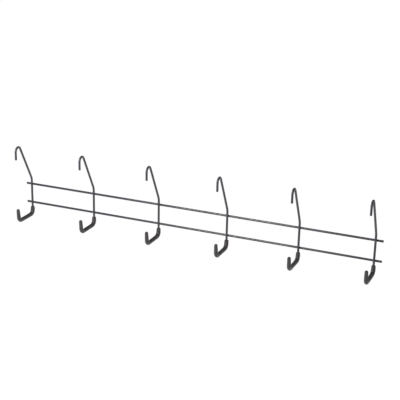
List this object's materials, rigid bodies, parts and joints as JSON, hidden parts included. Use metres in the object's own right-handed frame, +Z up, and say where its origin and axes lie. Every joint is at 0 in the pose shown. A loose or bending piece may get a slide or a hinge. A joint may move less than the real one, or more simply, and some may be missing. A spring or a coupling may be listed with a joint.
{
  "type": "long-handle tool hanger",
  "caption": "Wire rack that hangs on a bar by its curled ends, with soft-sleeved upturned hooks along its rails for brooms, mops and other long-handled tools.",
  "frame": {"origin": "on the axis of the bar that the curls hang on, halfway along the rails", "axes": "+X along the rails, towards the right seen from the front; +Y to the back, away from the tools; +Z up"},
  "size_m": [0.914, 0.0793, 0.1969],
  "materials": {
    "coated_wire": "satin dark grey powder coat",
    "vinyl_sleeve": "matte charcoal soft vinyl"
  },
  "bodies": {
    "root": {"upper_rail": "coated_wire", "lower_rail": "coated_wire", "hook_wire_1": "coated_wire", "grip_sleeve_1": "vinyl_sleeve", "upper_weld_1": "coated_wire", "lower_weld_1": "coated_wire", "hook_wire_2": "coated_wire", "grip_sleeve_2": "vinyl_sleeve", "upper_weld_2": "coated_wire", "lower_weld_2": "coated_wire", "hook_wire_3": "coated_wire", "grip_sleeve_3": "vinyl_sleeve", "upper_weld_3": "coated_wire", "lower_weld_3": "coated_wire", "hook_wire_4": "coated_wire", "grip_sleeve_4": "vinyl_sleeve", "upper_weld_4": "coated_wire", "lower_weld_4": "coated_wire", "hook_wire_5": "coated_wire", "grip_sleeve_5": "vinyl_sleeve", "upper_weld_5": "coated_wire", "lower_weld_5": "coated_wire", "hook_wire_6": "coated_wire", "grip_sleeve_6": "vinyl_sleeve", "upper_weld_6": "coated_wire", "lower_weld_6": "coated_wire"}
  },
  "joints": []
}
